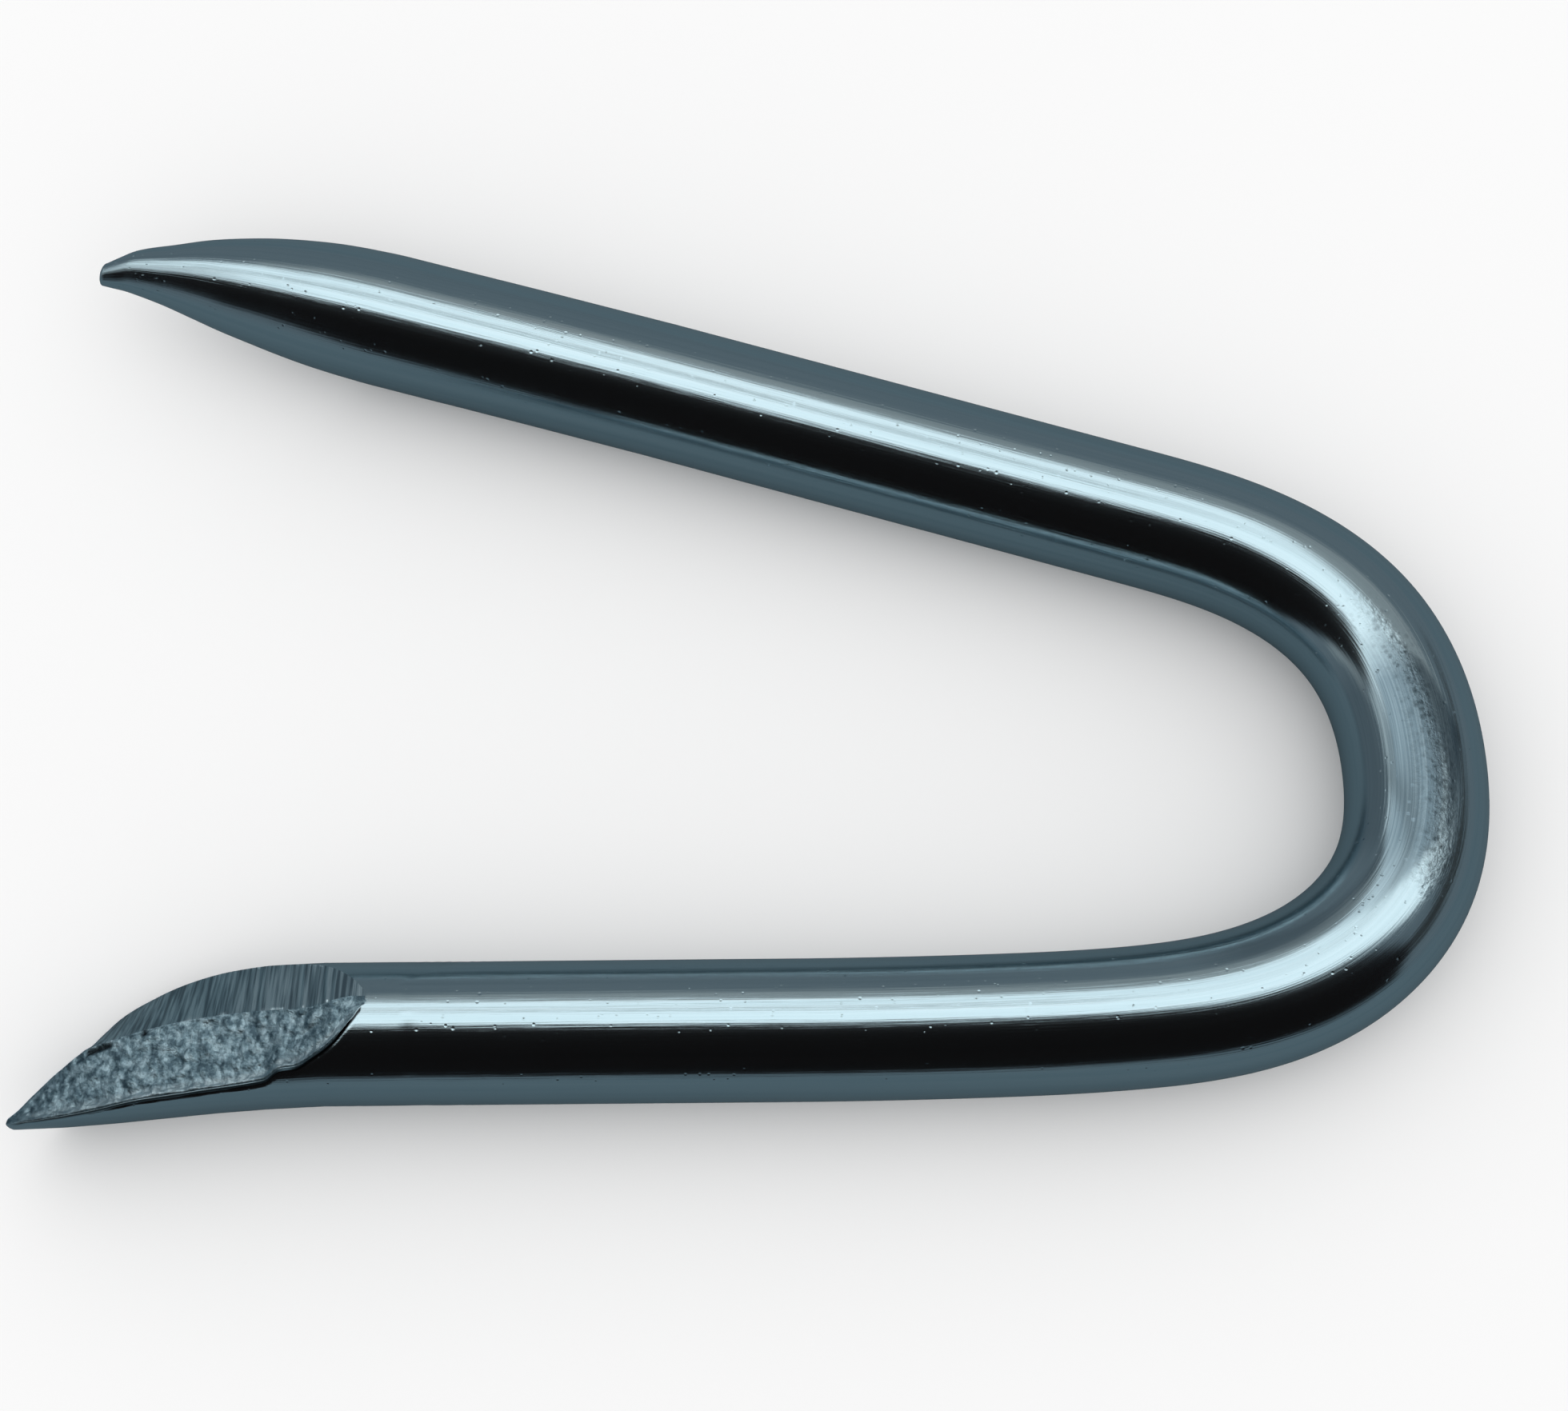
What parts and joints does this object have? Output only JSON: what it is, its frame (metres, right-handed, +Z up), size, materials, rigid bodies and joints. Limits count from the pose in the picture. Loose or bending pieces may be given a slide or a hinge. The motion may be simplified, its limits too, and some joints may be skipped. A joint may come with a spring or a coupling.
{
  "type": "fence staple",
  "caption": "Round zinc-plated wire bent to a wide U with two slash-cut points, driven into a timber post to hold fence wire or netting.",
  "frame": {"origin": "the middle of the staple's box in plan, on the ground that it lies on", "axes": "+X along the line halfway between the legs, from the points to the crown of the bend; +Y across the legs, towards the longer leg; +Z up, square to the flat of the staple"},
  "size_m": [0.0404, 0.0264, 0.0038],
  "materials": {
    "zinc_plated_steel": "bright zinc plate over drawn wire, bare steel grain at the cuts"
  },
  "bodies": {
    "root": {"staple": "zinc_plated_steel"}
  },
  "joints": []
}
